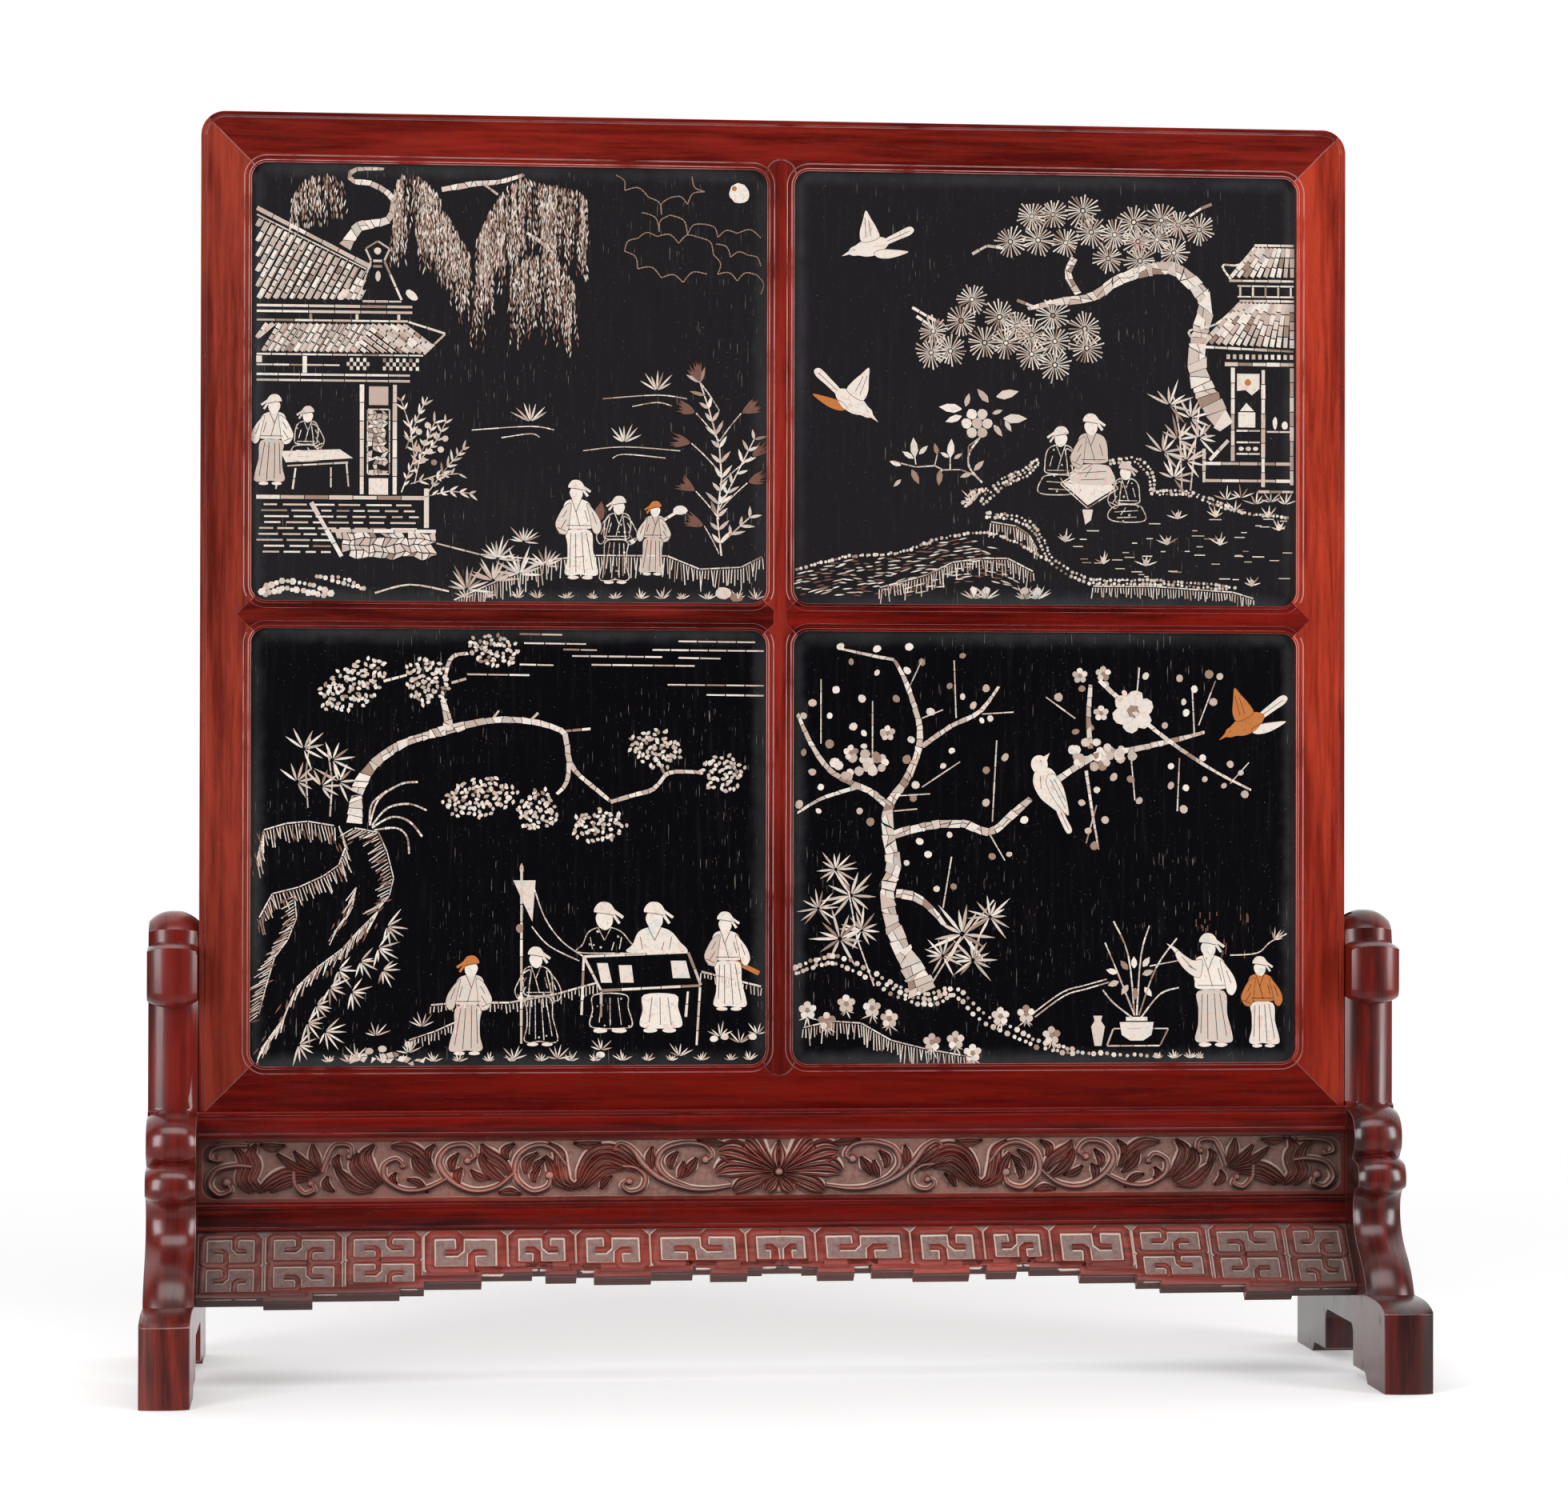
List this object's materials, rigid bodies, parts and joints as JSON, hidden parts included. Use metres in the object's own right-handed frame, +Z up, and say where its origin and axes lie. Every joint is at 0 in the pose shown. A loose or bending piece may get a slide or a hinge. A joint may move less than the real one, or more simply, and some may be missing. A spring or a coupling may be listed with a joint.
{
  "type": "table screen",
  "caption": "Table screen on a hardwood stand: grooved posts, a carved panel and leaning fret aprons hold a lift-out frame of black lacquer panels inlaid with shell scenes.",
  "frame": {"origin": "on the ground, midway between the two feet", "axes": "+Z up, the picture side faces -Y, +X to the right of someone facing the pictures"},
  "size_m": [0.5754, 0.18, 0.579],
  "materials": {
    "stand_wood": "polished reddish hardwood",
    "carved_wood": "carved hardwood with dusty ground",
    "frame_wood": "polished reddish hardwood",
    "black_lacquer": "aged black lacquer on board",
    "back_wood": "plain oiled hardwood",
    "shell": "polished mother-of-pearl"
  },
  "bodies": {
    "stand": {"foot_left": "stand_wood", "foot_right": "stand_wood", "post_left": "stand_wood", "post_right": "stand_wood", "spandrel_front_left": "stand_wood", "spandrel_front_right": "stand_wood", "spandrel_rear_left": "stand_wood", "spandrel_rear_right": "stand_wood", "spandrel_loose_tenons": "stand_wood", "lower_rail": "stand_wood", "upper_rail": "stand_wood", "carved_panel": "carved_wood", "front_apron": "carved_wood", "rear_apron": "carved_wood"},
    "screen": {"frame_top_rail": "frame_wood", "frame_bottom_rail": "frame_wood", "frame_left_stile": "frame_wood", "frame_right_stile": "frame_wood", "mullion": "frame_wood", "transom_left": "frame_wood", "transom_right": "frame_wood", "lacquer_panel_upper_left": "black_lacquer", "lacquer_panel_upper_right": "black_lacquer", "lacquer_panel_lower_left": "black_lacquer", "lacquer_panel_lower_right": "black_lacquer", "back_board_upper_left": "back_wood", "back_board_upper_right": "back_wood", "back_board_lower_left": "back_wood", "back_board_lower_right": "back_wood", "inlay_upper_left": "shell", "inlay_upper_right": "shell", "inlay_lower_left": "shell", "inlay_lower_right": "shell"}
  },
  "joints": [
    {"name": "screen_lift", "type": "slide", "parent": "stand", "child": "screen", "axis": [0, 0, 1], "range_m": [0, 0.1]}
  ]
}
